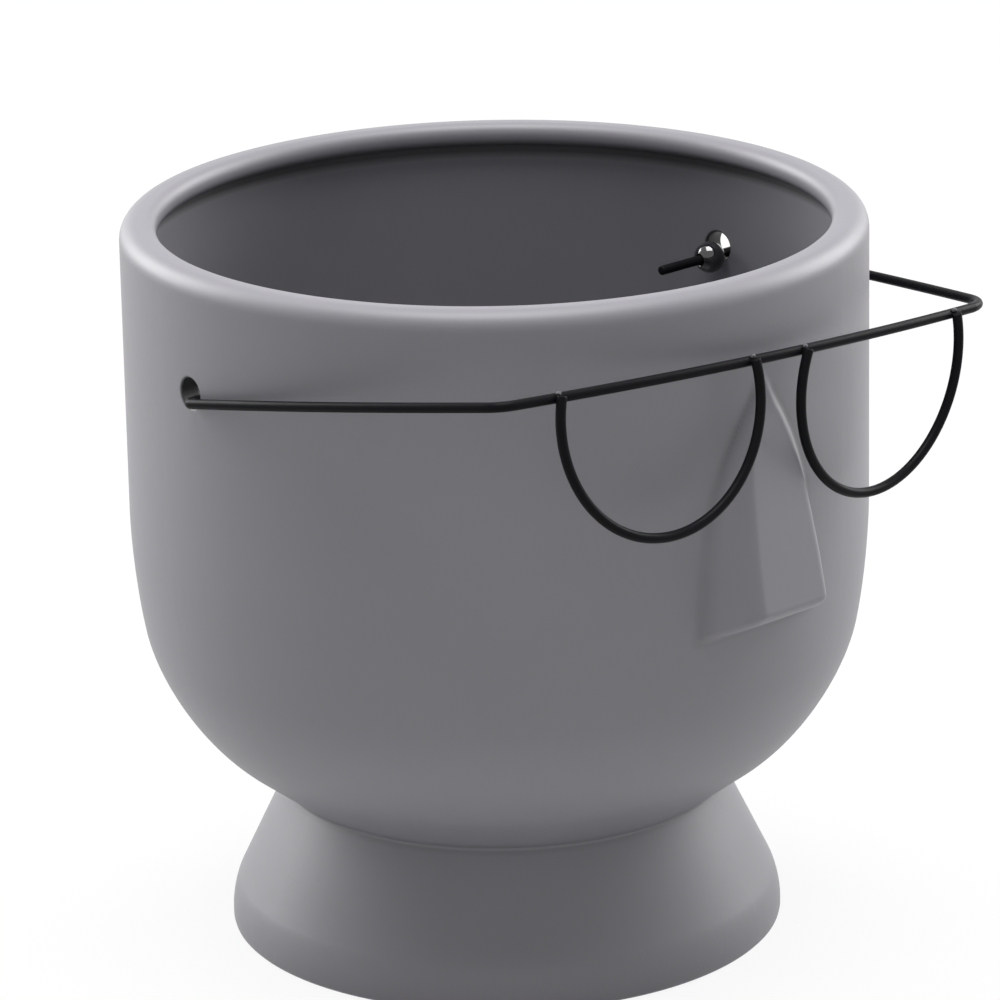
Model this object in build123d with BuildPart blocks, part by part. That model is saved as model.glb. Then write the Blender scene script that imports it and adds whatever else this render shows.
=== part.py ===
from build123d import *
import os
from math import cos, radians, sin, sqrt

# A head-shaped planter on a flared foot, with wire spectacles hung in two ear holes.
# Millimetres. The foot stands on z = 0 with the bowl's axis on Z, and the face looks along -Y.
# Left and right are as seen by someone who stands in front of the face: left is -X.

os.makedirs("parts", exist_ok=True)

# Bowl: outside, from the table up
pot_height = 150.0
pot_radius = 75.0
shoulder_height = 78.5
shoulder_bend_share = 0.385
belly_height = 49.2
belly_tuck = 5.2
belly_bend_share = 0.555
neck_height = 30.5
neck_tuck = 30.0
neck_crease = 0.8

# Foot
foot_flare = 11.7
foot_side = 6.3
foot_bend_share = 0.58
foot_edge = 1.2
foot_wall = 5.5
foot_roof_bend = 5.0
foot_mouth_edge = 1.0

# Wall, rim and floor of the bowl
wall = 4.5
floor_thickness = 5.5
floor_bend = 12.0
lip_overhang = 1.5
lip_height = 4.8
rim_outer_edge_share = 0.7
rim_inner_edge_share = 0.215
lip_under_edge = 0.7
lip_groove = 0.5

# Nose: a tapered wedge that rises out of the wall, deepest at its tip
nose_section_falls = [0.0, 4.0, 8.5, 14.5, 20.5, 27.0, 35.0]
nose_front_half_widths = [0.9, 1.6, 4.0, 6.3, 7.1, 7.8, 8.5]
nose_wall_half_widths = [5.5, 7.6, 9.2, 10.8, 12.2, 13.4, 14.4]
nose_front_spread_share = 0.045
nose_wall_spread_share = 0.063
nose_root_drop = 19.5
nose_root_reach = 0.3
nose_reach_share = 0.1965
nose_tip_rise = 6.2
nose_underside_share = 0.4516
nose_bed_share = 0.85
nose_skirt = 1.3
nose_side_edge = 1.8
nose_root_side_edge = 0.5
nose_lower_edge = 1.0

# Ear holes, drilled through both walls along X
ear_hole_radius = 3.1
ear_hole_drop = 23.4
ear_hole_setback = 6.9
ear_hole_edge = 0.5

# Wire spectacles
wire_radius = 1.0
hinge_forward = 1.0
hinge_below = 1.4
arm_gap = 0.8
arm_draw = 10.4
arm_lift_left = 0.7
arm_sag_right = 1.5
ear_bend = 2.2
inner_reach = 24.5
temple_bend_left = 5.0
temple_bend_right = 10.5
brow_bow = 5.6
bridge_gap = 3.55
brow_drop_left = 11.1
brow_drop_right = 19.1
brow_arch = 0.83
wire_tip_edge = 0.3
arm_bend_share = 0.8
brow_bend_share = 0.92

# Lens wires, welded to the front of the brow
lens_margin_left = 6.9
lens_margin_right = 8.0
lens_drop_left = 5.6
lens_drop_right = 7.6
lens_spacing = 14.0
lens_lean_left = 8.0
lens_lean_right = -1.7
weld_sink = 0.3
weld_stub = 0.5
weld_bead_radius = 0.95
weld_bead_rise = 0.8

# Stoppers on the inner ends of the wire
stopper_radius = 3.3
stopper_bore_clearance = 0.05
stopper_seat_gap = 0.3
stopper_face_edge = 0.35

overrun = 20.0


def inset(before, corner, after, depth):
    """A corner of an outline moved inwards, so that both its sides lie deeper by one depth."""
    first = (corner - before).normalized()
    second = (after - corner).normalized()
    first_normal = Vector(-first.Y, first.X)
    second_normal = Vector(-second.Y, second.X)
    return corner + (first_normal + second_normal) * (depth / (1 + first_normal.dot(second_normal)))


def at_height(start, end, height):
    """The point of a line through two outline points at one height."""
    return start + (end - start) * ((height - start.Y) / (end.Y - start.Y))


def gentle_bend(before, corner, after, share):
    """The radius of an arc that takes one share of the shorter run beside a corner."""
    incoming = corner - before
    outgoing = after - corner
    half_turn = radians(incoming.get_angle(outgoing)) / 2
    run = min(incoming.length, outgoing.length)
    return run * share * cos(half_turn) / sin(half_turn)


# Outline of the pot's wall, as points (radius, height) from under the foot round to the floor
neck_radius = pot_radius - neck_tuck
foot_radius = neck_radius + foot_flare
foot_bottom = Vector(foot_radius, 0)
foot_corner = Vector(foot_radius, foot_side)
neck = Vector(neck_radius, neck_height)
belly = Vector(pot_radius - belly_tuck, belly_height)
shoulder = Vector(pot_radius, shoulder_height)
rim_outside = Vector(pot_radius, pot_height)
foot_bend = gentle_bend(foot_bottom, foot_corner, neck, foot_bend_share)
belly_bend = gentle_bend(neck, belly, shoulder, belly_bend_share)
shoulder_bend = gentle_bend(belly, shoulder, rim_outside, shoulder_bend_share)

inner_radius = pot_radius - wall
lip_radius = inner_radius - lip_overhang
rim_width = pot_radius - lip_radius
floor_height = neck_height + floor_thickness
shoulder_inside = inset(belly, shoulder, rim_outside, wall)
belly_inside = inset(neck, belly, shoulder, wall)
floor_corner = at_height(belly_inside, belly_inside + (neck - belly), floor_height)

foot_mouth = Vector(foot_radius - foot_wall, 0)
foot_corner_inside = inset(foot_bottom, foot_corner, neck, foot_wall)
foot_roof = at_height(foot_corner_inside, foot_corner_inside + (neck - foot_corner), neck_height)

# Nose: horizontal sections from the root down, each a trapezium whose feet sink into the wall.
# Only the sections above the tip count, and the last one lies below the whole underside.
nose_root_height = pot_height - nose_root_drop
nose_tip_height = shoulder_height + nose_tip_rise
nose_length = nose_root_height - nose_tip_height
nose_reach = nose_root_reach + nose_length * nose_reach_share
nose_bed = wall * nose_bed_share
bed_y = nose_bed - pot_radius
base_fall = nose_length + (nose_reach + 2 * nose_bed) * nose_underside_share
nose_rows = [
    row
    for row in zip(nose_section_falls, nose_front_half_widths, nose_wall_half_widths)
    if row[0] < nose_length
]
last_fall, last_front, last_foot = nose_rows[-1]
base_front = last_front + (base_fall - last_fall) * nose_front_spread_share
base_foot = last_foot + (base_fall - last_fall) * nose_wall_spread_share
nose_rows.append((base_fall, base_front, base_foot))

with BuildPart() as nose:
    for fall, front, foot in nose_rows:
        front_y = -pot_radius - nose_root_reach - fall * nose_reach_share
        foot_point = Vector(foot, -sqrt(pot_radius**2 - foot**2))
        skirt = foot_point + (foot_point - Vector(front, front_y)).normalized() * nose_skirt
        growth = min(fall, nose_length) / nose_length
        edge = nose_root_side_edge + (nose_side_edge - nose_root_side_edge) * growth
        with BuildSketch(Plane.XY.offset(nose_root_height - fall)):
            with BuildLine():
                FilletPolyline(
                    (-skirt.X, bed_y),
                    (-skirt.X, skirt.Y),
                    (-front, front_y),
                    (front, front_y),
                    (skirt.X, skirt.Y),
                    (skirt.X, bed_y),
                    radius=[0, edge, edge, 0],
                )
                Line((skirt.X, bed_y), (-skirt.X, bed_y))
            make_face()
    loft(ruled=True)
    # The underside falls from the tip back to the wall
    underside = Plane(
        origin=(0, -pot_radius - nose_reach, nose_tip_height),
        x_dir=(1, 0, 0),
        z_dir=(0, nose_underside_share, 1),
    )
    split(bisect_by=underside, keep=Keep.TOP)

# Pot: one cast and fired piece with bowl, nose and foot
hole_y = ear_hole_setback
hole_z = pot_height - ear_hole_drop

with BuildPart() as pot:
    with BuildSketch(Plane.XZ):
        with BuildLine():
            FilletPolyline(
                (0, foot_roof.Y),
                foot_roof,
                foot_corner_inside,
                foot_mouth,
                foot_bottom,
                foot_corner,
                neck,
                belly,
                shoulder,
                rim_outside,
                (lip_radius, pot_height),
                (lip_radius, pot_height - lip_height),
                (inner_radius, pot_height - lip_height),
                shoulder_inside,
                belly_inside,
                floor_corner,
                (0, floor_height),
                radius=[
                    foot_roof_bend,
                    foot_bend - foot_wall,
                    foot_mouth_edge,
                    foot_edge,
                    foot_bend,
                    neck_crease,
                    belly_bend,
                    shoulder_bend,
                    rim_width * rim_outer_edge_share,
                    rim_width * rim_inner_edge_share,
                    lip_under_edge,
                    lip_groove,
                    shoulder_bend - wall,
                    belly_bend - wall,
                    floor_bend,
                ],
            )
            Line((0, floor_height), (0, foot_roof.Y))
        make_face()
    revolve(axis=Axis.Z)
    add(nose.part)
    underside_face = pot.faces().filter_by(underside).sort_by_distance(underside.origin)[0]
    lower_edges = underside_face.edges().sort_by(Axis.Y)[:-1]
    fillet(lower_edges, radius=nose_lower_edge)
    with BuildSketch(Plane.YZ):
        with Locations((hole_y, hole_z)):
            Circle(ear_hole_radius)
    extrude(amount=pot_radius + overrun, both=True, mode=Mode.SUBTRACT)
    # The glaze pools softly round both holes, inside and outside
    fillet(pot.edges(Select.NEW), radius=ear_hole_edge)
pot.part.label = "planter_body"
export_step(pot.part, "parts/planter_body.step")

# Brow wire: inner end, ear bend, arm, temple bend, bowed brow, and the same back
hinge_y = hole_y - hinge_forward
hinge_z = hole_z - hinge_below
arm_x = pot_radius + arm_gap + wire_radius
inner_x = arm_x - inner_reach
temple_x = arm_x - arm_draw
brow_y = -pot_radius - bridge_gap
temple_y = brow_y + brow_bow
arm_middle_y = (hinge_y + temple_y) / 2
left_z = pot_height - brow_drop_left
right_z = pot_height - brow_drop_right

route = [
    Vector(-inner_x, hinge_y, hinge_z),
    Vector(-arm_x, hinge_y, hinge_z),
    Vector(-arm_x, arm_middle_y, (hinge_z + left_z) / 2 + arm_lift_left),
    Vector(-temple_x, temple_y, left_z),
    Vector(0, brow_y - brow_bow, (left_z + right_z) / 2 + 2 * brow_arch),
    Vector(temple_x, temple_y, right_z),
    Vector(arm_x, arm_middle_y, (hinge_z + right_z) / 2 - arm_sag_right),
    Vector(arm_x, hinge_y, hinge_z),
    Vector(inner_x, hinge_y, hinge_z),
]
bends = [
    ear_bend,
    gentle_bend(*route[1:4], arm_bend_share),
    temple_bend_left,
    gentle_bend(*route[3:6], brow_bend_share),
    temple_bend_right,
    gentle_bend(*route[5:8], arm_bend_share),
    ear_bend,
]

with BuildPart() as brow_wire:
    with BuildLine() as wire_path:
        FilletPolyline(*route, radius=bends)
    with BuildSketch(Plane(origin=wire_path.line @ 0, z_dir=wire_path.line % 0)):
        Circle(wire_radius)
    sweep()
    tips = brow_wire.faces().filter_by(GeomType.PLANE)
    chamfer(tips.edges(), length=wire_tip_edge)
brow_wire.part.label = "brow_wire"
export_step(brow_wire.part, "parts/brow_wire.step")

# Lens wires: each an open ring in a plane of its own, lapped on the front of the bowed brow
brow_arc = wire_path.edges().sort_by_distance(route[4])[0]
lens_room = (brow_arc.length - lens_spacing) / 2
half_width_left = (lens_room - lens_margin_left) / 2
half_width_right = (lens_room - lens_margin_right) / 2
inner_share = lens_spacing / 2 / brow_arc.length
outer_share_left = inner_share + 2 * half_width_left / brow_arc.length
outer_share_right = inner_share + 2 * half_width_right / brow_arc.length


def lens_plane(first, last, lean):
    """The plane of a lens wire, from two weld points in left-to-right order and a forward lean."""
    across = (last - first).normalized()
    forward = across.cross(Vector(0, 0, 1))
    plane = Plane(origin=(first + last) / 2, x_dir=across, z_dir=forward).rotated((-lean, 0, 0))
    return plane.offset(2 * wire_radius - weld_sink)


def lens_line(half_width, drop, stub_height):
    """Three points of the open ring, from one stub above the brow round the bottom to the other."""
    radius = sqrt(half_width**2 + drop**2)
    side = sqrt(radius**2 - (drop + stub_height) ** 2)
    return (-side, stub_height), (0, -drop - radius), (side, stub_height)


middle_share = 0.5
left_outer = brow_arc @ (middle_share - outer_share_left)
left_inner = brow_arc @ (middle_share - inner_share)
right_inner = brow_arc @ (middle_share + inner_share)
right_outer = brow_arc @ (middle_share + outer_share_right)
left_plane = lens_plane(left_outer, left_inner, lens_lean_left)
right_plane = lens_plane(right_inner, right_outer, lens_lean_right)

with BuildPart() as lens_wire_left:
    with BuildLine(left_plane) as left_ring:
        ThreePointArc(*lens_line(half_width_left, lens_drop_left, wire_radius + weld_stub))
    with BuildSketch(Plane(origin=left_ring.line @ 0, z_dir=left_ring.line % 0)):
        Circle(wire_radius)
    sweep()
    # A bead of weld metal fills the corner over the brow at each end
    with Locations(left_plane.offset(-wire_radius)):
        with Locations((-half_width_left, weld_bead_rise), (half_width_left, weld_bead_rise)):
            Sphere(weld_bead_radius)
    add(brow_wire.part, mode=Mode.SUBTRACT)
lens_wire_left.part.label = "lens_wire_left"
export_step(lens_wire_left.part, "parts/lens_wire_left.step")

with BuildPart() as lens_wire_right:
    with BuildLine(right_plane) as right_ring:
        ThreePointArc(*lens_line(half_width_right, lens_drop_right, wire_radius + weld_stub))
    with BuildSketch(Plane(origin=right_ring.line @ 0, z_dir=right_ring.line % 0)):
        Circle(wire_radius)
    sweep()
    # A bead of weld metal fills the corner over the brow at each end
    with Locations(right_plane.offset(-wire_radius)):
        with Locations((-half_width_right, weld_bead_rise), (half_width_right, weld_bead_rise)):
            Sphere(weld_bead_radius)
    add(brow_wire.part, mode=Mode.SUBTRACT)
lens_wire_right.part.label = "lens_wire_right"
export_step(lens_wire_right.part, "parts/lens_wire_right.step")

# Stoppers: round beads that grip the wire just inside the wall
stopper_x = sqrt(inner_radius**2 - hinge_y**2) - stopper_seat_gap - stopper_radius

with BuildPart() as stopper_left:
    with Locations((-stopper_x, hinge_y, hinge_z)):
        Sphere(stopper_radius)
        Cylinder(
            radius=wire_radius + stopper_bore_clearance,
            height=2 * stopper_radius,
            rotation=(0, 90, 0),
            mode=Mode.SUBTRACT,
        )
    mouths = stopper_left.edges().filter_by(GeomType.CIRCLE)
    chamfer(mouths, length=stopper_face_edge)
stopper_left.part.label = "stopper_left"
export_step(stopper_left.part, "parts/stopper_left.step")

with BuildPart() as stopper_right:
    add(stopper_left.part)
    mirror(about=Plane.YZ, mode=Mode.REPLACE)
stopper_right.part.label = "stopper_right"
export_step(stopper_right.part, "parts/stopper_right.step")
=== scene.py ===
# %% [markdown]
# # A planter with a face
# The object is a grey glazed planter in the shape of a head. It has a wedge for a nose, a flared
# foot for a neck, and a pair of spectacles bent from black wire that swings in two ear holes.
# The lesson dresses the measured model of this planter: it takes that model as a fixed frame,
# builds finer pieces over it, gives them finishes, and lights them like a catalogue picture.
#
# The first lines fetch the frame. Nothing in it is moved. Its box is kept, so that the finished
# pieces can be compared with it at the end.

# %% Fetch the frame
import math

import bmesh
import bpy
from mathutils import Matrix, Vector, noise


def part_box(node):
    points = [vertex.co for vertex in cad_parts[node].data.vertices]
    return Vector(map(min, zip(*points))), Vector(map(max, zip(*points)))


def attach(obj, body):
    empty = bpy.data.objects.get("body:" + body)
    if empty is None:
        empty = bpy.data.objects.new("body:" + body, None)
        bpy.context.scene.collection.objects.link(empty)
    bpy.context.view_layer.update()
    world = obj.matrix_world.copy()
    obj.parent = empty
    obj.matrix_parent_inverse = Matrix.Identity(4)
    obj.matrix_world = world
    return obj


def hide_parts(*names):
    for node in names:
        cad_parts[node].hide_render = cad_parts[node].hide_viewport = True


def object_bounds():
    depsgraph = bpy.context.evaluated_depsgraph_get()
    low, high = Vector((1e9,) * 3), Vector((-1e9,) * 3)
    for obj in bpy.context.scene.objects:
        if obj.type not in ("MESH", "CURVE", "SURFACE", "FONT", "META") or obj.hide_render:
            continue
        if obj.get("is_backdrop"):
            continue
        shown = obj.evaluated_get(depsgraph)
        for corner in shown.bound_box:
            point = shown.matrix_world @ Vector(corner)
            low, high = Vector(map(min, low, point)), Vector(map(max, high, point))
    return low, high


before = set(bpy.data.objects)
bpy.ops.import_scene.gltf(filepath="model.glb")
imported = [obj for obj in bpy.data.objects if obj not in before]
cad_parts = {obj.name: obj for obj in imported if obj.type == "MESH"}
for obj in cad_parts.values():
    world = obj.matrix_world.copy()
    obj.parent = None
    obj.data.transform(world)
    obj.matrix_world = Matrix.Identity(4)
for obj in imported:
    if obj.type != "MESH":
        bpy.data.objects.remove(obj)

cad_low, cad_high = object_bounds()
print("frame nodes:", ", ".join(sorted(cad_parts)))
print("frame box in mm:", [round(1000 * (b - a), 1) for a, b in zip(cad_low, cad_high)])

# %% [markdown]
# ## Camera
# The picture was taken from a little above the rim and to the left of the nose, with a long lens,
# because the rim's ellipse is narrow and the near and far sides are almost the same size. The
# camera is placed by angles round a target on the bowl's axis: that keeps the viewing angle and
# the distance apart, so either can be changed without spoiling the other.

# %% Place the camera
MM = 0.001
view_turn = math.radians(42.7)
view_rise = math.radians(18.07)
view_roll = math.radians(1.11)
camera_distance = 1.2
target = Vector((0, 0, 88.8 * MM))
focal_pixels = 5905
shift_pixels = 0.67
picture_pixels = 1000
sensor_width = 36
nearest_seen = 0.05

camera_data = bpy.data.cameras.new("camera")
camera_data.sensor_width = sensor_width
camera_data.lens = sensor_width * focal_pixels / picture_pixels
camera_data.shift_x = shift_pixels / picture_pixels
camera_data.clip_start = nearest_seen
camera = bpy.data.objects.new("camera", camera_data)
bpy.context.collection.objects.link(camera)
toward_camera = Vector((
    -math.sin(view_turn) * math.cos(view_rise),
    -math.cos(view_turn) * math.cos(view_rise),
    math.sin(view_rise),
))
camera.location = target + toward_camera * camera_distance
aim = (-toward_camera).to_track_quat("-Z", "Y").to_matrix().to_4x4()
roll = Matrix.Rotation(-view_roll, 4, "Z")
camera.matrix_world = Matrix.Translation(camera.location) @ aim @ roll
bpy.context.scene.camera = camera
bpy.context.scene.view_settings.view_transform = "Standard"
print("camera at", [round(v, 3) for v in camera.location])
print("lens in mm:", round(camera_data.lens, 1))

# %% [markdown]
# ## Helpers for mesh work
# Every piece is shaped in millimetres with bmesh operators, because a maker's sizes are easier to
# read that way. One helper brings the finished shape to metres, turns its faces outwards, sets
# smooth shading with crisp corners, and hands back an object that sits untouched at the origin.

# %% Turn a shape into a piece
merge_within = 0.0005


def make_piece(shape, name, crisp_angle=35):
    bmesh.ops.remove_doubles(shape, verts=shape.verts, dist=merge_within)
    bmesh.ops.recalc_face_normals(shape, faces=shape.faces)
    bmesh.ops.scale(shape, vec=(MM, MM, MM), verts=shape.verts)
    mesh = bpy.data.meshes.new(name)
    shape.to_mesh(mesh)
    shape.free()
    mesh.shade_smooth()
    mesh.set_sharp_from_angle(angle=math.radians(crisp_angle))
    piece = bpy.data.objects.new(name, mesh)
    bpy.context.collection.objects.link(piece)
    print(f"{name}: {len(mesh.vertices)} points, {len(mesh.polygons)} faces")
    return piece


print("one unit of a shape is", MM, "m")

# %% [markdown]
# A tube, a hole's cutter and a bead's bore all grow in the same way: a ring of points is extruded
# into the next ring. These helpers find a ring's edges, extrude it, and find the edges that are
# still open at the end.

# %% Work with rings
def points_of(items):
    return [item for item in items if isinstance(item, bmesh.types.BMVert)]


def edges_of(ring):
    """The edges that join neighbours in a ring of points, each once."""
    edges = dict.fromkeys(edge for vertex in ring for edge in vertex.link_edges)
    return [edge for edge in edges if all(end in ring for end in edge.verts)]


def extrude_ring(shape, ring):
    raised = bmesh.ops.extrude_edge_only(shape, edges=edges_of(ring))
    return points_of(raised["geom"])


def open_edges(shape):
    return [edge for edge in shape.edges if edge.is_boundary]


trial = bmesh.new()
trial_ring = bmesh.ops.create_circle(trial, segments=12, radius=1)["verts"]
print("edges in a ring of 12 points:", len(edges_of(trial_ring)))
extrude_ring(trial, trial_ring)
print("open edges after one extrusion:", len(open_edges(trial)))
trial.free()

# %% [markdown]
# ## The pot's outline
# The real pot is slip-cast: liquid clay sets against a mould, so outside and inside follow each
# other at the thickness of one wall, and every corner is soft. A turned shape like this is best
# drawn as one outline that is later spun round the axis. Its height and radius are read from the
# frame, so the pot can't drift away from the measured model.

# %% Sizes of the pot
pot_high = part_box("planter_body")[1] / MM
pot_height = pot_high.z
pot_radius = pot_high.x
wall = 4.5
foot_wall = 5.5
foot_roof_height = 30.5
floor_height = 36
lip_radius = pot_radius - 7.4
lip_bottom = pot_height - 4.8
print("pot in mm: radius", round(pot_radius, 2), "height", round(pot_height, 2))

# %% [markdown]
# The outline starts as straight runs between corners. Each corner is given as its radius from the
# axis, its height, and the radius of its bend. The outside comes first, from the foot's inner edge
# up to the rim. Next come the inside corners, which are the outside ones moved in by one wall.

# %% Corners of the outline
outer_corners = [
    (51.2, 0, 1.0),
    (56.7, 0, 1.2),
    (56.7, 6.3, 16),
    (45, foot_roof_height, 0.8),
    (69.8, 49.2, 42),
    (pot_radius, 78.5, 130),
    (pot_radius, pot_height, 3.7),
]


def inset_corner(before, corner, after, depth):
    first = (Vector(corner[:2]) - Vector(before[:2])).normalized()
    second = (Vector(after[:2]) - Vector(corner[:2])).normalized()
    normals = Vector((-first.y, first.x)) + Vector((-second.y, second.x))
    return Vector(corner[:2]) + normals * depth / (1 + first.dot(second))


def on_line(start, slope, height):
    return start + slope * ((height - start.y) / slope.y)


shoulder_inside = inset_corner(*outer_corners[4:7], wall)
belly_inside = inset_corner(*outer_corners[3:6], wall)
bowl_slope = Vector(outer_corners[4][:2]) - Vector(outer_corners[3][:2])
floor_corner = on_line(belly_inside, bowl_slope, floor_height)
foot_inside = inset_corner(*outer_corners[1:4], foot_wall)
foot_slope = Vector(outer_corners[3][:2]) - Vector(outer_corners[2][:2])
foot_roof = on_line(foot_inside, foot_slope, foot_roof_height)
outline = [
    (0, foot_roof_height, 0),
    (*foot_roof, 5),
    (*foot_inside, 10.5),
    *outer_corners,
    (lip_radius, pot_height, 2.2),
    (lip_radius, lip_bottom, 1.8),
    (pot_radius - wall, lip_bottom, 0.3),
    (*shoulder_inside, 125.5),
    (*belly_inside, 37.5),
    (*floor_corner, 12),
    (0, floor_height, 0),
]
print("outline corners:", len(outline))

# %% [markdown]
# A vertex bevel rounds the corners. At a corner of a chain of edges it cuts the same length off
# both runs. A bend of radius R that turns by an angle starts R x tan(angle / 2) before the corner,
# so that is the length given to it. With the default profile of 0.5 the rounded part is very
# close to a circle.

# %% Draw and round the outline
fewest_steps = 3
most_steps = 24


def soft_chain(shape, corners, longest_step):
    points = [shape.verts.new((radius, 0, height)) for radius, height, _ in corners]
    for first, second in zip(points, points[1:]):
        shape.edges.new((first, second))
    for place in range(1, len(corners) - 1):
        before, corner, after = (Vector(corners[place + k][:2]) for k in (-1, 0, 1))
        turn = (corner - before).angle(after - corner)
        bend = corners[place][2]
        steps = math.ceil(bend * turn / longest_step)
        bmesh.ops.bevel(
            shape,
            geom=[points[place]],
            offset=bend * math.tan(turn / 2),
            offset_type="OFFSET",
            segments=min(max(steps, fewest_steps), most_steps),
            profile=0.5,
            affect="VERTICES",
            material=-1,
        )


pot_shape = bmesh.new()
soft_chain(pot_shape, outline, longest_step=0.9)
print("outline points after rounding:", len(pot_shape.verts))

# %% [markdown]
# The nose will be raised from the wall, and that needs closely spaced points in its height. Long
# runs of the outline are divided here, most finely where the nose's underside will be.

# %% Divide the long runs
nose_root_height = 130.5
nose_tip_height = 84.7


def divide(shape, lowest, highest, longest):
    runs = []
    for edge in shape.edges:
        middle = (edge.verts[0].co + edge.verts[1].co) / 2
        if middle.x > pot_radius - wall / 2 and lowest < middle.z < highest:
            runs.append(edge)
    for edge in runs:
        cuts = math.ceil(edge.calc_length() / longest) - 1
        if cuts > 0:
            bmesh.ops.subdivide_edges(shape, edges=[edge], cuts=cuts)


divide(pot_shape, lowest=60, highest=pot_height - 3, longest=0.95)
divide(pot_shape, lowest=nose_tip_height - 6, highest=nose_tip_height + 2, longest=0.35)
print("outline points:", len(pot_shape.verts))

# %% [markdown]
# ## Spin the outline
# The spin goes round in sectors, given in degrees with their number of steps. The nose and the
# two ear holes get narrow columns of faces, and the plain wall between them gets wide ones, so
# the fine work has points to move and the rest stays light. The ear holes lie a little behind the
# bowl's widest line, so their sectors are turned back by a few degrees.

# %% Spin in sectors
nose_sector = 44
ear_sector = 16
ear_turn = 5
seam_gap = 0.002
ear_start = ear_turn - ear_sector / 2
side_sector = 90 - nose_sector / 2 + ear_start
back_sector = 180 - 2 * (ear_start + ear_sector)
sectors = [
    (nose_sector, 110),
    (side_sector, 33),
    (ear_sector, 32),
    (back_sector, 75),
    (ear_sector, 32),
    (side_sector, 33),
]
first_turn = Matrix.Rotation(math.radians(-90 - nose_sector / 2), 3, "Z")
bmesh.ops.rotate(pot_shape, verts=pot_shape.verts, matrix=first_turn)
chain = pot_shape.verts[:] + pot_shape.edges[:]
for turn, steps in sectors:
    spun = bmesh.ops.spin(
        pot_shape,
        geom=chain,
        cent=(0, 0, 0),
        axis=(0, 0, 1),
        angle=math.radians(turn),
        steps=steps,
        use_duplicate=False,
    )
    chain = spun["geom_last"]
bmesh.ops.remove_doubles(pot_shape, verts=pot_shape.verts, dist=seam_gap)
print("turned", sum(turn for turn, _ in sectors), "degrees,", len(pot_shape.faces), "faces")

# %% [markdown]
# ## The nose
# A face planter gets its nose in the mould, so the nose grows out of the wall without a seam: its
# edges are soft, and a soft crease runs round its foot. It could be a wedge joined on with a
# boolean, but then the crease would be a hard line. Moving the wall's own points forwards gives
# the soft one.
#
# Each row says how wide the nose is at one height: half of its front, and half of its foot on the
# wall. Between two rows the widths change evenly.

# %% Rows of the nose
nose_rows = [
    (130.5, 0.9, 2.6),
    (126.5, 2.1, 5.2),
    (122, 4.1, 7.8),
    (118.5, 5.3, 9.3),
    (114.5, 6.3, 10.8),
    (110, 7.0, 12.2),
    (103.5, 7.8, 13.4),
    (95.5, 8.5, 14.4),
    (79.5, 9.2, 15.4),
]
nose_reach = 9.3
nose_root_reach = 0.3


def share_between(value, low, high):
    """0 at low, 1 at high, and an even change in between."""
    return min(max((value - low) / (high - low), 0), 1)


def nose_row(height):
    for upper, lower in zip(nose_rows, nose_rows[1:]):
        if height >= lower[0]:
            share = share_between(height, upper[0], lower[0])
            return [a + (b - a) * share for a, b in zip(upper, lower)]
    return nose_rows[-1]


print("half widths at 100 mm:", [round(width, 2) for width in nose_row(100)[1:]])

# %% [markdown]
# A plain minimum of two surfaces meets in a sharp edge. A soft minimum dips a little below both of
# them near that edge, which rounds it, and a soft maximum fills the corner in the same way. The
# width of the blend is worked out from the radius that the edge should have.

# %% Soft minimum and maximum
narrowest_blend = 0.02
blend_per_radius = 1.4


def soft_least(first, second, softness):
    overlap = max(softness - abs(first - second), 0) / softness
    return min(first, second) - overlap * overlap * softness / 4


def soft_most(first, second, softness):
    return -soft_least(-first, -second, softness)


def softness_of(radius, slope):
    """The blending width that rounds an edge of this slope to about this radius."""
    width = radius * math.tan(math.atan(slope) / 2) * slope * blend_per_radius
    return max(width, narrowest_blend)


print("soft least of 1 and 1, blended over 0.4:", soft_least(1, 1, 0.4))

# %% [markdown]
# Four surfaces say how far forwards a point may come: the sloping front, the two sides and the
# underside. Their soft minimum is the nose. The edge of the underside is rounder than the
# others, because the photograph shows it as a broad light band.

# %% Surfaces of the nose
underside_slope = 9.3 / 4.2
least_flank_slope = 1.1
fall_above_root = 4
edge_softness = 1.1
underside_softness = 2.0
corner_softness = 5.0


def nose_surface(side, height):
    """How far forwards the nose comes at this place, and the slope of its flank."""
    share = (nose_root_height - height) / (nose_root_height - nose_tip_height)
    fall = 1 if share > 0 else fall_above_root
    front = pot_radius + nose_root_reach + (nose_reach - nose_root_reach) * share * fall
    _, half_front, half_wall = nose_row(height)
    at_wall = math.sqrt(pot_radius**2 - half_wall**2)
    slope = max((front - at_wall) / (half_wall - half_front), least_flank_slope)
    flank = front - (abs(side) - half_front) * slope
    underside = pot_radius + nose_reach + (height - nose_tip_height) * underside_slope
    border = soft_least(flank, underside, corner_softness)
    under = share_between(flank - underside, -corner_softness / 2, corner_softness / 2)
    softness = edge_softness + (underside_softness - edge_softness) * under
    steepness = slope + (underside_slope - slope) * under
    return soft_least(front, border, softness_of(softness, steepness)), slope


tip_reach = nose_surface(0, nose_tip_height + 2)[0] - pot_radius
print("reach 2 mm above the tip:", round(tip_reach, 2), "mm")

# %% [markdown]
# Each point of the wall near the nose moves forwards to the soft maximum of the wall and the
# nose's surface, which leaves a soft crease between them. The same loop writes down how near each
# point is to that crease, in a float attribute of the points. The glaze reads it later to paint
# shade into its colour along the crease, where shade falls, most of all beside the narrow bridge.

# %% Raise the nose
crease_softness = 0.8
crease_width = 1.6
nose_side_room = 19
smallest_move = 0.0005
lowest_moved = nose_tip_height - 8
highest_moved = nose_root_height + 3
root_fade = (nose_root_height + 1, nose_root_height - 3)
bridge_fade = (100, 120)
least_painted_shade = 0.5

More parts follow.
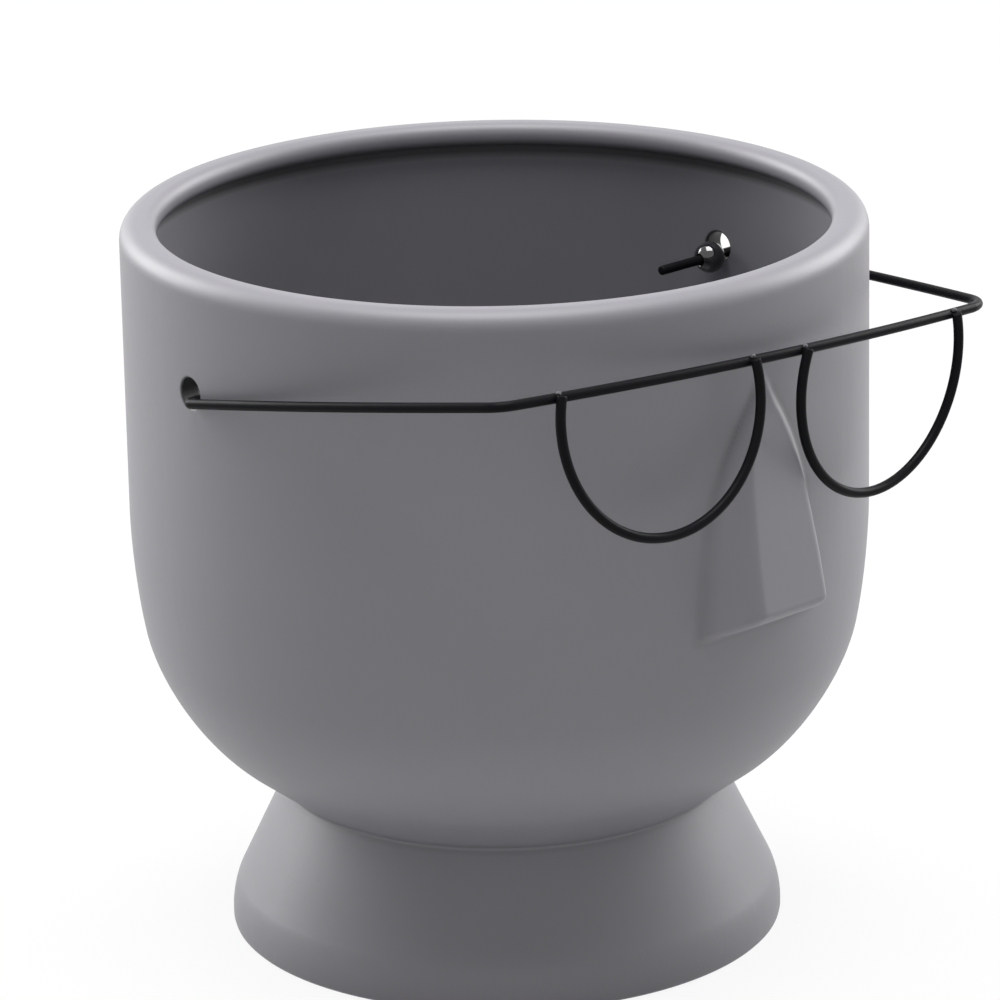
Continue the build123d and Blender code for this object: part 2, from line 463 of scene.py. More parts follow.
nose_points = 0
# This attribute holds painted shade: how far the glaze's colour is darkened along the nose's
# crease.
painted_shade = pot_shape.verts.layers.float.new("painted crease shade")
for vertex in pot_shape.verts:
    side, depth, height = vertex.co
    on_outside = math.hypot(side, depth) > pot_radius - wall / 2 and depth < 0
    if on_outside and abs(side) < nose_side_room and lowest_moved < height < highest_moved:
        surface, slope = nose_surface(side, height)
        raised = soft_most(-depth, surface, softness_of(crease_softness, slope))
        distance = abs(surface + depth) / slope
        below_root = share_between(height, *root_fade)
        beside_bridge = share_between(height, *bridge_fade)
        strength = least_painted_shade + (1 - least_painted_shade) * beside_bridge
        vertex[painted_shade] = max(1 - distance / crease_width, 0) * below_root * strength
        if abs(raised + depth) > smallest_move:
            vertex.co.y = -raised
            nose_points += 1
print("points moved for the nose:", nose_points)

# %% [markdown]
# ## Ear holes
# Each hole is punched through the wet wall with a tube, and the glaze later softens both of its
# edges. A cutter that flares where it meets the wall gives that soft edge in one cut: each of
# its rings is placed at a depth below the curved wall, so the flare is even all round the hole.
#
# A ring is given by how much wider than the hole it is and how deep it sinks below the wall, both
# as shares of the edge's radius. The first two rings stand clear of the wall, and the others
# follow a quarter of a circle.

# %% A flared cutter for one ear
ear_hole_radius = 3.1
ear_hole_edge = 0.5
ear_hole_depth = 6.9
ear_hole_height = pot_height - 23.4
edge_steps = 5

quarter_turns = [math.radians(90) * step / edge_steps for step in range(edge_steps + 1)]
flare = [(1.3, -3.0), (1.3, -0.12)]
flare += [(1 - math.sin(angle), 1 - math.cos(angle)) for angle in quarter_turns]
cutter_rings = [(pot_radius, grow, sink) for grow, sink in flare]
cutter_rings += [(pot_radius - wall, grow, -sink) for grow, sink in reversed(flare)]


def ear_cutter(side):
    shape = bmesh.new()
    ring = bmesh.ops.create_circle(shape, cap_ends=True, segments=56, radius=1)["verts"]
    bmesh.ops.rotate(shape, verts=ring, matrix=Matrix.Rotation(math.radians(90), 3, "Y"))
    middle = Vector((0, 0, 0))
    for place, (surface, grow, sink) in enumerate(cutter_rings):
        if place:
            ring = extrude_ring(shape, ring)
            middle = Vector((0, ear_hole_depth, ear_hole_height))
        for vertex in ring:
            angle = math.atan2(vertex.co.z - middle.z, vertex.co.y - middle.y)
            radius = ear_hole_radius + ear_hole_edge * grow
            depth = ear_hole_depth + radius * math.cos(angle)
            height = ear_hole_height + radius * math.sin(angle)
            across = math.sqrt(surface**2 - depth**2) - ear_hole_edge * sink
            vertex.co = (side * across, depth, height)
    bmesh.ops.holes_fill(shape, edges=open_edges(shape), sides=0)
    return make_piece(shape, "ear_cutter")


print("rings of an ear cutter:", len(cutter_rings))

# %% [markdown]
# The cut itself is a boolean modifier, applied at once so that the finished pot is a plain mesh.
# The columns of faces are narrow near the ears, so the new edges disturb the wall's shading only
# within a fraction of a millimetre of the hole. A weighted normal modifier evens out what is left.

# %% Punch both ears
pot_crisp_angle = 80


def applied(piece, crisp_angle):
    depsgraph = bpy.context.evaluated_depsgraph_get()
    finished = bpy.data.meshes.new_from_object(piece.evaluated_get(depsgraph))
    piece.modifiers.clear()
    piece.data = finished
    finished.shade_smooth()
    finished.set_sharp_from_angle(angle=math.radians(crisp_angle))


pot = make_piece(pot_shape, "glazed_pot", pot_crisp_angle)
for side in (-1, 1):
    cutter = ear_cutter(side)
    punch = pot.modifiers.new("ear hole", "BOOLEAN")
    punch.operation = "DIFFERENCE"
    punch.solver = "EXACT"
    punch.object = cutter
    applied(pot, pot_crisp_angle)
    bpy.data.objects.remove(cutter)
even_normals = pot.modifiers.new("even normals", "WEIGHTED_NORMAL")
even_normals.keep_sharp = True
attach(pot, "planter")
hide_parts("planter_body")
print("pot after punching:", len(pot.data.vertices), "points,", len(pot.data.polygons), "faces")

# %% [markdown]
# ## The brow wire
# The spectacles are bent from one length of 2 mm wire: it leaves the bowl through an ear hole,
# turns forwards along the wall, turns again at the temple and bows across the face. A curve with
# a round section could stand for it. A wire bender works with straight runs and round bends, and
# so do these helpers: they push a ring of points along each run and spin it round each bend.

# %% Runs and bends
wire_radius = 1.0
wire_sides = 28


def wire_ring(shape, place, direction, radius):
    circle = bmesh.ops.create_circle(shape, cap_ends=True, segments=wire_sides, radius=radius)
    ring = circle["verts"]
    aim = direction.to_track_quat("Z", "Y").to_matrix()
    bmesh.ops.rotate(shape, verts=ring, matrix=aim)
    bmesh.ops.translate(shape, verts=ring, vec=place)
    return ring


def push_ring(shape, ring, step):
    ring = extrude_ring(shape, ring)
    bmesh.ops.translate(shape, verts=ring, vec=step)
    return ring


def spin_ring(shape, ring, centre, axis, turn, steps):
    spun = bmesh.ops.spin(
        shape,
        geom=ring + edges_of(ring),
        cent=centre,
        axis=axis,
        angle=turn,
        steps=steps,
        use_duplicate=False,
    )
    return points_of(spun["geom_last"])


def close_ends(shape, soft):
    bmesh.ops.holes_fill(shape, edges=open_edges(shape), sides=0)
    caps = [face for face in shape.faces if len(face.verts) == wire_sides]
    rims = {edge for face in caps for edge in face.edges}
    bmesh.ops.bevel(
        shape,
        geom=list(rims),
        offset=soft,
        offset_type="OFFSET",
        segments=3,
        profile=0.5,
        affect="EDGES",
        material=-1,
    )


print("wire diameter:", 2 * wire_radius, "mm")

# %% [markdown]
# The corners of the route follow the ear holes and the pot's radius. The left temple sits about
# 8 mm higher than the right one: the frame in the photograph was bent by hand and is a little
# twisted, and that twist is part of its charm. The last three lifts make the arms and the brow
# bow a little up or down between their ends.

# %% Route of the brow wire
arm_gap = 0.8
inner_length = 24.5
temple_inset = 10.4
brow_gap = 3.55
brow_bow = 5.6
left_arm_lift = 0.7
brow_lift = 1.66
right_arm_lift = -1.5

hinge_depth = ear_hole_depth - 1.0
hinge_height = ear_hole_height - 1.4
arm_side = pot_radius + arm_gap + wire_radius
inner_side = arm_side - inner_length
temple_side = arm_side - temple_inset
brow_depth = -pot_radius - brow_gap
temple_depth = brow_depth + brow_bow
arm_depth = (hinge_depth + temple_depth) / 2
left_height = pot_height - 11.1
right_height = pot_height - 19.1
route = [
    Vector((-inner_side, hinge_depth, hinge_height)),
    Vector((-arm_side, hinge_depth, hinge_height)),
    Vector((-arm_side, arm_depth, (hinge_height + left_height) / 2 + left_arm_lift)),
    Vector((-temple_side, temple_depth, left_height)),
    Vector((0, brow_depth - brow_bow, (left_height + right_height) / 2 + brow_lift)),
    Vector((temple_side, temple_depth, right_height)),
    Vector((arm_side, arm_depth, (hinge_height + right_height) / 2 + right_arm_lift)),
    Vector((arm_side, hinge_depth, hinge_height)),
    Vector((inner_side, hinge_depth, hinge_height)),
]
print("route corners:", len(route))

# %% [markdown]
# A tight bend, as at an ear or a temple, has a radius of its own. An arm or the brow bows gently
# over most of its length, so its radius is worked out from the share of the shorter run that the
# bend may take.

# %% Radii of the bends
ear_bend = 2.2
left_temple_bend = 5.0
right_temple_bend = 10.5
arm_share = 0.8
brow_share = 0.92


def gentle_bend(before, corner, after, share):
    incoming = corner - before
    outgoing = after - corner
    run = min(incoming.length, outgoing.length)
    return run * share / math.tan(incoming.angle(outgoing) / 2)


bends = [
    ear_bend,
    gentle_bend(*route[1:4], arm_share),
    left_temple_bend,
    gentle_bend(*route[3:6], brow_share),
    right_temple_bend,
    gentle_bend(*route[5:8], arm_share),
    ear_bend,
]
brow_corner = 4
print("bend radii in mm:", [round(radius, 1) for radius in bends])

# %% [markdown]
# The wire is then made from end to end. At each corner the ring is pushed to the start of the
# bend and spun round the bend's centre. The brow's own bend is kept, because the lens wires are
# placed on it.

# %% Bend the brow wire
fewest_bend_steps = 6
longest_bend_step = 2.5
widest_bend_step = 9


def bend_at(before, corner, after, radius):
    incoming = (corner - before).normalized()
    outgoing = (after - corner).normalized()
    turn = incoming.angle(outgoing)
    start = corner - incoming * radius * math.tan(turn / 2)
    axis = incoming.cross(outgoing).normalized()
    centre = start + axis.cross(incoming) * radius
    return start, centre, axis, turn


def bend_steps(radius, turn):
    """Enough steps that none is longer or turns more than it may."""
    by_length = math.ceil(radius * turn / longest_bend_step)
    by_angle = math.ceil(math.degrees(turn) / widest_bend_step)
    return max(fewest_bend_steps, by_length, by_angle)


wire_shape = bmesh.new()
ring = wire_ring(wire_shape, route[0], route[1] - route[0], wire_radius)
place = route[0].copy()
for corner, radius in enumerate(bends, start=1):
    start, centre, axis, turn = bend_at(*route[corner - 1 : corner + 2], radius)
    ring = push_ring(wire_shape, ring, start - place)
    ring = spin_ring(wire_shape, ring, centre, axis, turn, bend_steps(radius, turn))
    place = centre + Matrix.Rotation(turn, 3, axis) @ (start - centre)
    if corner == brow_corner:
        brow_arc = (start, centre, axis, turn)
push_ring(wire_shape, ring, route[-1] - place)
close_ends(wire_shape, soft=0.35)
brow_wire = make_piece(wire_shape, "painted_brow_wire", crisp_angle=50)

# %% [markdown]
# ## Lens wires
# Each lens is an open ring of the same wire, lapped on the front of the brow and spot-welded at
# both ends. Its ends stand just above the brow. A ring needs one spin and nothing else. Its
# plane is set by the two weld points on the bowed brow, and by a lean: the left ring leans
# forwards, and the right one hangs nearly upright.

# %% Points on the brow
lens_spacing = 14.0
weld_sink = 0.3
arc_start, arc_centre, arc_axis, arc_turn = brow_arc
arc_length = (arc_start - arc_centre).length * arc_turn
lens_room = (arc_length - lens_spacing) / 2


def on_brow(distance):
    """A point on the brow's centre line, at a distance to the right of its middle."""
    turn = arc_turn * (0.5 + distance / arc_length)
    return arc_centre + Matrix.Rotation(turn, 3, arc_axis) @ (arc_start - arc_centre)


def lens_frame(first, last, lean):
    across = (last - first).normalized()
    forward = across.cross(Vector((0, 0, 1))).normalized()
    upward = forward.cross(across)
    lean_turn = Matrix.Rotation(math.radians(-lean), 3, across)
    forward = lean_turn @ forward
    upward = lean_turn @ upward
    middle = (first + last) / 2 + forward * (2 * wire_radius - weld_sink)
    return middle, across, upward, forward


print("brow arc:", round(arc_length, 1), "mm, room for each lens:", round(lens_room, 1), "mm")

# %% [markdown]
# The ring's centre hangs a little below the brow, by the drop, so its ends come in at a slant and
# stand above the brow by a short stub.

# %% Spin a lens wire and place its weld spots
lens_stub = 0.55
lens_steps = 110
left_lens_margin = 6.9
right_lens_margin = 8.0
weld_back = 0.15
weld_rise = 0.95


def lens_wire(name, first_distance, last_distance, drop, lean):
    first = on_brow(first_distance)
    last = on_brow(last_distance)
    middle, across, upward, forward = lens_frame(first, last, lean)
    half_width = abs(last_distance - first_distance) / 2
    radius = math.hypot(half_width, drop)
    start_angle = math.asin((drop + lens_stub) / radius)
    centre = middle - upward * drop
    to_start = upward * math.sin(start_angle) - across * math.cos(start_angle)
    start = centre + to_start * radius
    turn = math.radians(180) + 2 * start_angle
    shape = bmesh.new()
    ring = wire_ring(shape, start, forward.cross(to_start), wire_radius)
    spin_ring(shape, ring, centre, forward, turn, lens_steps)
    close_ends(shape, soft=0.25)
    piece = make_piece(shape, name, crisp_angle=50)
    on_bar = middle - forward * (wire_radius - weld_back) + upward * weld_rise
    spots = [on_bar + across * side * half_width for side in (-1, 1)]
    print(name, "lowest", round(min(v.co.z for v in piece.data.vertices) / MM, 2), "mm")
    return piece, spots


left_lens, left_spots = lens_wire(
    "painted_lens_wire_left",
    first_distance=-lens_spacing / 2 - (lens_room - left_lens_margin),
    last_distance=-lens_spacing / 2,
    drop=5.6,
    lean=8.0,
)
right_lens, right_spots = lens_wire(
    "painted_lens_wire_right",
    first_distance=lens_spacing / 2,
    last_distance=lens_spacing / 2 + (lens_room - right_lens_margin),
    drop=7.6,
    lean=-1.7,
)

# %% [markdown]
# ## Weld spots
# Where a lens wire was welded to the brow, a small nugget of metal fills the corner between the
# two. It is painted black with the wire, but here it is rougher, and its grey colour is a painted
# highlight for the glint it catches. A ball with its surface pushed about by a noise reads as
# melted metal at this size. Each ball reads another part of the noise, so no two are alike.

# %% Four nuggets
weld_radius = 0.5
weld_lumps = 0.16
weld_stretch = (1.15, 1, 0.95)
lumps_per_mm = 2.4
noise_step = 5.0

weld_shape = bmesh.new()
for number, spot in enumerate(left_spots + right_spots):
    ball = bmesh.ops.create_icosphere(weld_shape, subdivisions=4, radius=weld_radius)["verts"]
    for vertex in ball:
        bump = noise.noise(vertex.co * lumps_per_mm + Vector((noise_step * number, 0, 0)))
        vertex.co *= 1 + weld_lumps * bump
    bmesh.ops.scale(weld_shape, vec=weld_stretch, verts=ball)
    bmesh.ops.translate(weld_shape, verts=ball, vec=spot)
welds = make_piece(weld_shape, "weld_spots", crisp_angle=60)

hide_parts("brow_wire")
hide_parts("lens_wire_left")
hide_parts("lens_wire_right")
for piece in (brow_wire, left_lens, right_lens, welds):
    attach(piece, "spectacles")

# %% [markdown]
# ## Beads
# A black glass-smooth bead is pushed on each inner end of the wire, so that the spectacles can't
# spring out of the bowl. A bead is a ball with a bore through it. The ball's two poles are taken
# away, each opening gets a narrower ring and then the bore's ring, and a bridge joins the two
# sides. The small step between these rings is the bead's rounded mouth.

# %% Two bored beads
bead_radius = 3.3
bead_gap = 0.3
bore_radius = wire_radius + 0.05
mouth_width = 0.15
mouth_share = 0.86
mouth_depth = 0.12
bore_depth = 0.3
bead_side = math.sqrt((pot_radius - wall) ** 2 - hinge_depth**2) - bead_gap - bead_radius


def bored_bead(name, side):
    shape = bmesh.new()
    bmesh.ops.create_uvsphere(shape, u_segments=64, v_segments=44, radius=bead_radius)
    bmesh.ops.rotate(shape, verts=shape.verts, matrix=Matrix.Rotation(math.radians(90), 3, "Y"))
    opening = bore_radius + mouth_width
    poles = [vertex for vertex in shape.verts if math.hypot(vertex.co.y, vertex.co.z) < opening]
    bmesh.ops.delete(shape, geom=poles, context="VERTS")
    for share, inward in ((mouth_share, mouth_depth), (None, bore_depth)):
        raised = bmesh.ops.extrude_edge_only(shape, edges=open_edges(shape))
        for vertex in points_of(raised["geom"]):
            factor = share or bore_radius / math.hypot(vertex.co.y, vertex.co.z)
            across = vertex.co.x - math.copysign(inward, vertex.co.x)
            vertex.co = (across, vertex.co.y * factor, vertex.co.z * factor)
    bmesh.ops.bridge_loops(shape, edges=open_edges(shape))
    place = (side * bead_side, hinge_depth, hinge_height)
    bmesh.ops.translate(shape, verts=shape.verts, vec=place)
    return make_piece(shape, name, crisp_angle=50)


left_bead = bored_bead("bead_left", -1)
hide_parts("stopper_left")
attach(left_bead, "left_bead")
right_bead = bored_bead("bead_right", 1)
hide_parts("stopper_right")
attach(right_bead, "right_bead")

# %% [markdown]
# ## A shared surface effect
# None of these surfaces is perfectly even. Glaze and paint both vary a little in tone over a
# centimetre or two, vary in gloss over a few millimetres, and carry a fine skin like that of an
# orange. One node group makes these three effects from noises in the object's own coordinates,
# and each material gives it its own amounts and sizes, in metres.
#
# Three small helpers come first. One adds a sum as a node, one adds a noise of a given size, and
# one lets such a noise swing a value up and down round its middle.

# %% Helpers for nodes
noise_roughness = 0.55


def math_node(tree, operation, *values):
    """A Math node. Each value is a number or another node's output."""
    node = tree.nodes.new("ShaderNodeMath")
    node.operation = operation
    for value, entry in zip(values, node.inputs):
        if isinstance(value, (int, float)):
            entry.default_value = value
        else:
            tree.links.new(value, entry)
    return node.outputs[0]


def noise_of(tree, place, size, detail):
    texture = tree.nodes.new("ShaderNodeTexNoise")
    texture.inputs["Detail"].default_value = detail
    texture.inputs["Roughness"].default_value = noise_roughness
    tree.links.new(place, texture.inputs["Vector"])
    tree.links.new(math_node(tree, "DIVIDE", 1, size), texture.inputs["Scale"])
    return texture.outputs["Fac"]


def swing(tree, fac, middle, amount):
    """middle + (fac - 0.5) x amount"""
    centred = math_node(tree, "SUBTRACT", fac, 0.5)
    return math_node(tree, "MULTIPLY_ADD", centred, amount, middle)


trial_tree = bpy.data.node_groups.new("trial", "ShaderNodeTree")
swing(trial_tree, 0.75, 1, 0.2)
print("nodes that swing a value:", [node.operation for node in trial_tree.nodes])
bpy.data.node_groups.remove(trial_tree)

# %% [markdown]
# The group takes the colour, the roughness and the amounts, and gives back an uneven colour, an
# uneven roughness and the height of the skin. It puts out values only: the shader and its bump
# stay in each material.

# %% Build the group
group_inputs = [
    ("Color", "Color"),
    ("Mottle", "Float"),
    ("Mottle Size", "Float"),
    ("Roughness", "Float"),
    ("Roughness Spread", "Float"),
    ("Skin Size", "Float"),
]
group_outputs = [("Color", "Color"), ("Roughness", "Float"), ("Height", "Float")]


def coated_surface():
    group = bpy.data.node_groups.new("coated surface", "ShaderNodeTree")
    for direction, sockets in (("INPUT", group_inputs), ("OUTPUT", group_outputs)):
        for name, kind in sockets:
            socket_type = f"NodeSocket{kind}"
            group.interface.new_socket(name=name, in_out=direction, socket_type=socket_type)
    link = group.links.new
    given = group.nodes.new("NodeGroupInput")
    made = group.nodes.new("NodeGroupOutput")
    place = group.nodes.new("ShaderNodeTexCoord").outputs["Object"]
    mottle = noise_of(group, place, given.outputs["Mottle Size"], detail=3)
    skin = noise_of(group, place, given.outputs["Skin Size"], detail=2)
    tone = group.nodes.new("ShaderNodeHueSaturation")
    spread = given.outputs["Roughness Spread"]
    link(given.outputs["Color"], tone.inputs["Color"])
    link(swing(group, mottle, 1, given.outputs["Mottle"]), tone.inputs["Value"])
    link(tone.outputs["Color"], made.inputs["Color"])
    link(swing(group, mottle, given.outputs["Roughness"], spread), made.inputs["Roughness"])
    link(skin, made.inputs["Height"])
    return group


surface_group = coated_surface()
print("group sockets:", [item.name for item in surface_group.interface.items_tree])

# %% [markdown]
# ## Finishes
# The pot has a cool grey satin glaze: it is smooth but not shiny, and only its edges catch a soft
# light. A thin rough coat over a rough base gives that better than one gloss would. The wire is
# dipped in black paint, which hardly mirrors anything. The beads are glossy black. The welds get a
# dull grey, partly metallic finish, whose grey is a painted highlight. Every finish is one
# Principled shader fed by the shared group.

# %% One helper for every finish
def finish(name, color, skin_depth, surface_values, shader_values):
    material = bpy.data.materials.new(name)
    material.use_nodes = True
    nodes = material.node_tree.nodes
    link = material.node_tree.links.new
    shader = nodes["Principled BSDF"]
    surface = nodes.new("ShaderNodeGroup")
    surface.node_tree = surface_group
    surface.inputs["Color"].default_value = (*color, 1)
    for entry, value in surface_values.items():
        surface.inputs[entry].default_value = value
    for entry, value in shader_values.items():
        shader.inputs[entry].default_value = value
    bump = nodes.new("ShaderNodeBump")
    bump.inputs["Distance"].default_value = skin_depth
    link(surface.outputs["Color"], shader.inputs["Base Color"])
    link(surface.outputs["Roughness"], shader.inputs["Roughness"])
    link(surface.outputs["Height"], bump.inputs["Height"])
    link(bump.outputs["Normal"], shader.inputs["Normal"])
    print("finish:", name)
    return material


# %% [markdown]
# The amounts were found by rendering and comparing. The glaze's tone changes over 30 mm and its
# skin over 2 mm. On the thin wire the same effects are several times smaller. The welds, whose
# grey is a painted highlight, are the most uneven of all, in tone and in gloss.

# %% Make the finishes
glaze = finish(
    "satin grey glaze",
    color=(0.166, 0.163, 0.18),
    skin_depth=0.00003,
    surface_values={
        "Mottle": 0.10,
        "Mottle Size": 0.03,
        "Roughness": 0.55,
        "Roughness Spread": 0.10,
        "Skin Size": 0.0022,
    },
    shader_values={"Coat Weight": 0.3, "Coat Roughness": 0.45},
)
paint = finish(
    "black wire paint",
    color=(0.006, 0.006, 0.007),
    skin_depth=0.00002,
    surface_values={
        "Mottle": 0.3,
        "Mottle Size": 0.004,
        "Roughness": 0.36,
        "Roughness Spread": 0.16,
        "Skin Size": 0.0006,
    },
    shader_values={"Specular IOR Level": 0.04},
)
gloss_black = finish(
    "glossy black bead",
    color=(0.006, 0.006, 0.007),
    skin_depth=0.000005,
    surface_values={
        "Mottle": 0.1,
        "Mottle Size": 0.003,
        "Roughness": 0.05,
        "Roughness Spread": 0.02,
        "Skin Size": 0.002,
    },
    shader_values={"Coat Weight": 1.0, "Coat Roughness": 0.03},
)
# The welds' grey colour is a painted highlight: the glint on nuggets that are painted black.
weld_painted_glint = finish(
    "weld with painted glint",
    color=(0.07, 0.07, 0.075),
    skin_depth=0.00004,
    surface_values={
        "Mottle": 0.5,
        "Mottle Size": 0.0009,
        "Roughness": 0.6,
        "Roughness Spread": 0.3,
        "Skin Size": 0.0004,
    },
    shader_values={"Metallic": 0.3},
)

# %% [markdown]
# ## Painted shade on the glaze
# The glaze's colour is darkened here to paint in shade: a dark line under the far side of the lip,
# where the lip shadows the wall, a dark wall in the ear holes, and soft dark creases round the
# nose and at the neck. The colour could be painted on the points, but these places are easy to say
# in
# measures: a band of heights, a distance from the axis or from the line through both ears. So
# nodes work them out from Object coordinates, and only the nose's crease is read from the
# attribute that its own cell wrote.

# %% Nodes that find a place on the pot
def ramp(tree, value, low, high):
    """0 at low and 1 at high, both in millimetres. Low may be the larger one."""
    node = tree.nodes.new("ShaderNodeMapRange")
    node.inputs["From Min"].default_value = low * MM
    node.inputs["From Max"].default_value = high * MM
    tree.links.new(value, node.inputs["Value"])
    return node.outputs["Result"]


def faded(tree, value, most):
    """The same mask, at most this strong."""
    node = tree.nodes.new("ShaderNodeMapRange")
    node.inputs["To Max"].default_value = most
    tree.links.new(value, node.inputs["Value"])
    return node.outputs["Result"]


def vector_node(tree, operation, first, second=None):
    node = tree.nodes.new("ShaderNodeVectorMath")
    node.operation = operation
    tree.links.new(first, node.inputs[0])
    if second is not None:
        node.inputs[1].default_value = second
    return node


def distance_from(tree, place, centre, across):
    """The distance from a line through the centre. Across has a 0 for the line's direction."""
    offset = vector_node(tree, "SUBTRACT", place, Vector(centre) * MM)
    flat = vector_node(tree, "MULTIPLY", offset.outputs[0], across)
    return vector_node(tree, "LENGTH", flat.outputs[0]).outputs["Value"]


# These bands mark where shade is painted into the glaze: under the lip and at the neck.
lip_fade_in = (lip_bottom - 3.2, lip_bottom - 1.6)
lip_fade_out = (lip_bottom + 1.5, lip_bottom + 0.2)
inside_fade = (pot_radius - 2.0, pot_radius - 3.0)
ear_fade = (ear_hole_radius + 0.5, ear_hole_radius + 0.15)
neck_fade_in = (foot_roof_height - 1.6, foot_roof_height - 0.2)
neck_fade_out = (foot_roof_height + 2.2, foot_roof_height + 0.4)
for band, fade_in, fade_out in (
    ("under the lip", lip_fade_in, lip_fade_out),
    ("at the neck", neck_fade_in, neck_fade_out),
):
    print("dark band", band, "from", round(fade_in[0], 1), "to", round(fade_out[0], 1), "mm")

# %% [markdown]
# The masks are joined by their maximum, so that two of them never add up, and the joined mask
# mixes the glaze's colour towards a near black, which is painted shade. It goes in just before the
# shader's colour, so the gloss and the skin of the glaze stay as they are.

# %% Paint shade into the glaze's colour
# A near black, mixed into the glaze's colour as painted shade.
painted_shade_color = (0.02, 0.02, 0.022, 1)
nose_strength = 0.5
neck_strength = 0.25


def paint_shade_on_glaze(material):
    tree = material.node_tree
    place = tree.nodes.new("ShaderNodeTexCoord").outputs["Object"]
    parts = tree.nodes.new("ShaderNodeSeparateXYZ")
    tree.links.new(place, parts.inputs[0])
    height = parts.outputs["Z"]
    from_axis = distance_from(tree, place, (0, 0, 0), (1, 1, 0))
    from_ears = distance_from(tree, place, (0, ear_hole_depth, ear_hole_height), (0, 1, 1))

    above = ramp(tree, height, *lip_fade_in)
    below = ramp(tree, height, *lip_fade_out)
    inside = ramp(tree, from_axis, *inside_fade)
    lip_band = math_node(tree, "MULTIPLY", above, below)
    under_lip = math_node(tree, "MULTIPLY", lip_band, inside)
    in_ears = ramp(tree, from_ears, *ear_fade)

    attribute = tree.nodes.new("ShaderNodeAttribute")
    attribute.attribute_name = "painted crease shade"
    at_nose = faded(tree, attribute.outputs["Fac"], nose_strength)
    neck_low = ramp(tree, height, *neck_fade_in)
    neck_high = ramp(tree, height, *neck_fade_out)
    neck_band = math_node(tree, "MULTIPLY", neck_low, neck_high)
    at_neck = faded(tree, neck_band, neck_strength)

    strong = math_node(tree, "MAXIMUM", under_lip, in_ears)
    soft = math_node(tree, "MAXIMUM", at_nose, at_neck)
    mix = tree.nodes.new("ShaderNodeMix")
    mix.data_type = "RGBA"
    plain, dark, mixed = mix.inputs[6], mix.inputs[7], mix.outputs[2]
    base = tree.nodes["Principled BSDF"].inputs["Base Color"]
    dark.default_value = painted_shade_color
    tree.links.new(math_node(tree, "MAXIMUM", strong, soft), mix.inputs["Factor"])
    tree.links.new(base.links[0].from_socket, plain)
    tree.links.new(mixed, base)


paint_shade_on_glaze(glaze)
print("nodes in the glaze:", len(glaze.node_tree.nodes))

# %% [markdown]
# Each mesh carries one material. The welds ride with the painted wire and share its slot in the
# record, but here they get a grey finish of their own, whose grey is a painted highlight.

# %% Give each piece its finish
for piece, material in (
    (pot, glaze),
    (brow_wire, paint),
    (left_lens, paint),
    (right_lens, paint),
    (welds, weld_painted_glint),
    (left_bead, gloss_black),
    (right_bead, gloss_black),
):
    piece.data.materials.append(material)
    print(piece.name, "has", material.name)

# %% [markdown]
# ## Floor and backdrop
# The picture is a cut-out on pure white. The floor is pale and keeps a faint shadow, but what the
# camera and shiny surfaces see of it is mostly plain white. The world does the same: it is white
# behind the object, and a dim even grey where it lights the object. More light on the floor
# would give the white too, but it would spoil the tone of the glaze.

# %% Lay the floor
floor_size = 6
floor_drop = 0.0001
floor_white = 0.9
floor_color = (0.62, 0.62, 0.62, 1)


def seen_directly(tree, share):
    """One share for camera, glossy and transmission rays, and 0 for all others."""
    light_path = tree.nodes.new("ShaderNodeLightPath").outputs
    first = math_node(tree, "MAXIMUM", light_path["Is Camera Ray"], light_path["Is Glossy Ray"])
    seen = math_node(tree, "MAXIMUM", first, light_path["Is Transmission Ray"])
    return math_node(tree, "MULTIPLY", seen, share)


def blend_to_white(tree, lit, white, share, target_socket):
    blend = tree.nodes.new("ShaderNodeMixShader")
    tree.links.new(seen_directly(tree, share), blend.inputs[0])
    tree.links.new(lit.outputs[0], blend.inputs[1])
    tree.links.new(white.outputs[0], blend.inputs[2])
    tree.links.new(blend.outputs[0], target_socket)


floor_shape = bmesh.new()
bmesh.ops.create_grid(floor_shape, x_segments=1, y_segments=1, size=floor_size)
bmesh.ops.translate(floor_shape, verts=floor_shape.verts, vec=(0, 0, -floor_drop))
floor_mesh = bpy.data.meshes.new("floor")
floor_shape.to_mesh(floor_mesh)
floor_shape.free()
floor = bpy.data.objects.new("floor", floor_mesh)
bpy.context.collection.objects.link(floor)
floor_look = bpy.data.materials.new("pale floor")
floor_look.use_nodes = True
tree = floor_look.node_tree
tree.nodes.remove(tree.nodes["Principled BSDF"])
diffuse = tree.nodes.new("ShaderNodeBsdfDiffuse")
diffuse.inputs["Color"].default_value = floor_color
white = tree.nodes.new("ShaderNodeEmission")
blend_to_white(tree, diffuse, white, floor_white, tree.nodes["Material Output"].inputs["Surface"])
floor_mesh.materials.append(floor_look)
floor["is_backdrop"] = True
print("floor:", 2 * floor_size, "m wide,", floor_drop, "m below the foot")

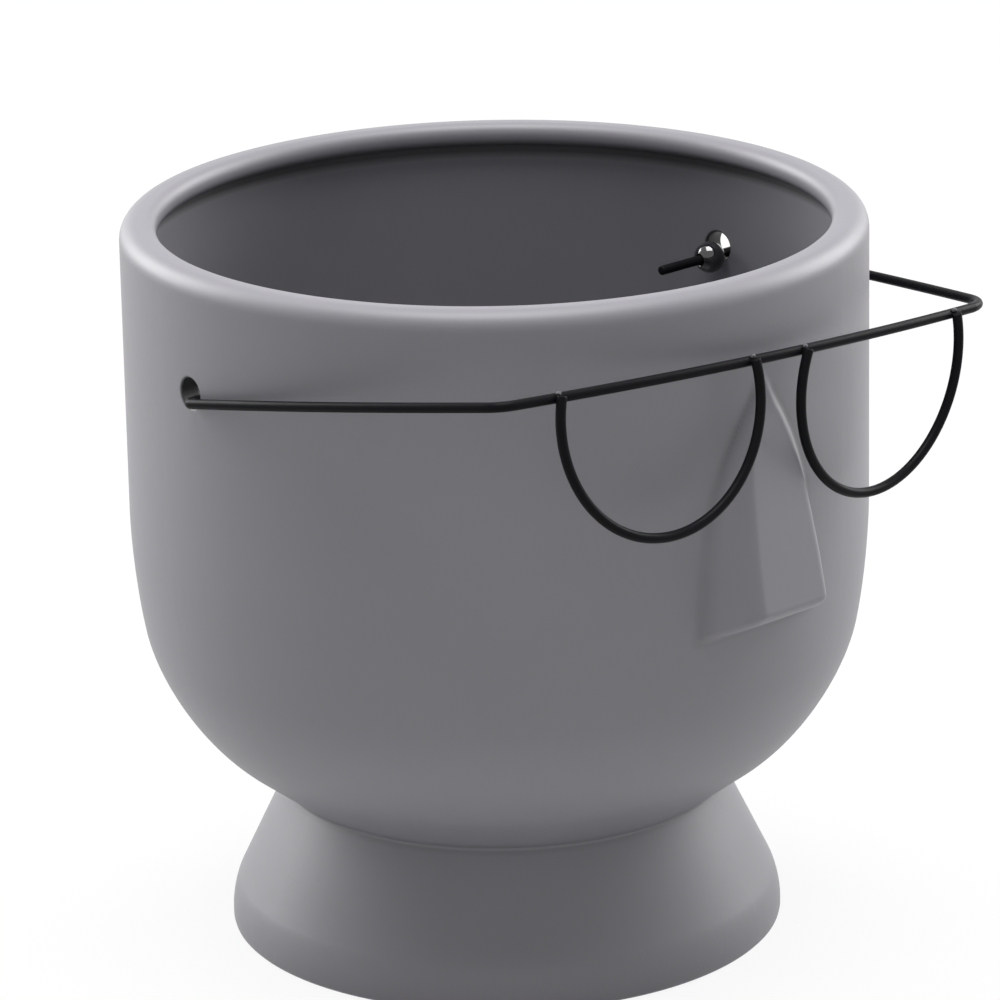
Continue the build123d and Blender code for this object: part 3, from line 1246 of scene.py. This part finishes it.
# %% [markdown]
# The world is blended in the same way: a dim grey background for the light that it gives, and a
# white one for what is seen of it.

# %% Set the world
ambient_strength = 0.27
plain_white = (1, 1, 1, 1)

world = bpy.data.worlds.new("studio")
bpy.context.scene.world = world
world.use_nodes = True
tree = world.node_tree
ambient = tree.nodes["Background"]
ambient.inputs["Color"].default_value = plain_white
ambient.inputs["Strength"].default_value = ambient_strength
backdrop = tree.nodes.new("ShaderNodeBackground")
backdrop.inputs["Color"].default_value = plain_white
blend_to_white(tree, ambient, backdrop, 1, tree.nodes["World Output"].inputs["Surface"])
print("world ambient:", ambient_strength)

# %% [markdown]
# ## Studio light
# In the photograph both outer edges of the bowl are bright and its front is darkest, a little
# right of the middle. That means large soft lights at the sides and behind, and little from the
# camera. They hang well above the rim, so that the bowl shades the foot, whose sides are dim in
# the photograph. A third light straight above brightens the top of the rim.

# %% Hang the softboxes
sideways = Vector((math.cos(view_turn), -math.sin(view_turn), 0))
away = Vector((math.sin(view_turn), math.cos(view_turn), 0))
upwards = Vector((0, 0, 1))


def softbox(name, right, back, height, size, power):
    light = bpy.data.lights.new(name, "AREA")
    light.shape = "RECTANGLE"
    light.size = size
    light.size_y = size
    light.energy = power
    lamp = bpy.data.objects.new(name, light)
    lamp.location = sideways * right + away * back + upwards * height
    lamp.rotation_euler = (target - lamp.location).to_track_quat("-Z", "Y").to_euler()
    bpy.context.collection.objects.link(lamp)
    print(name, "at", [round(v, 2) for v in lamp.location], "with", power, "W")


softbox("left softbox", right=-1.1, back=0.72, height=0.66, size=0.9, power=22.5)
softbox("right softbox", right=1.1, back=0.72, height=0.66, size=0.9, power=19)
softbox("top softbox", right=0, back=-0.1, height=1.3, size=0.8, power=20)

# %% [markdown]
# ## Last check
# The dressed object must fill the same box as the measured model. The difference between both
# boxes is worked out and printed.

# %% Compare both boxes and finish
seen_low, seen_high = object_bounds()
gaps = [seen - cad for seen, cad in zip([*seen_low, *seen_high], [*cad_low, *cad_high])]
print("dressed box minus frame box in mm:", [round(1000 * gap, 2) for gap in gaps])
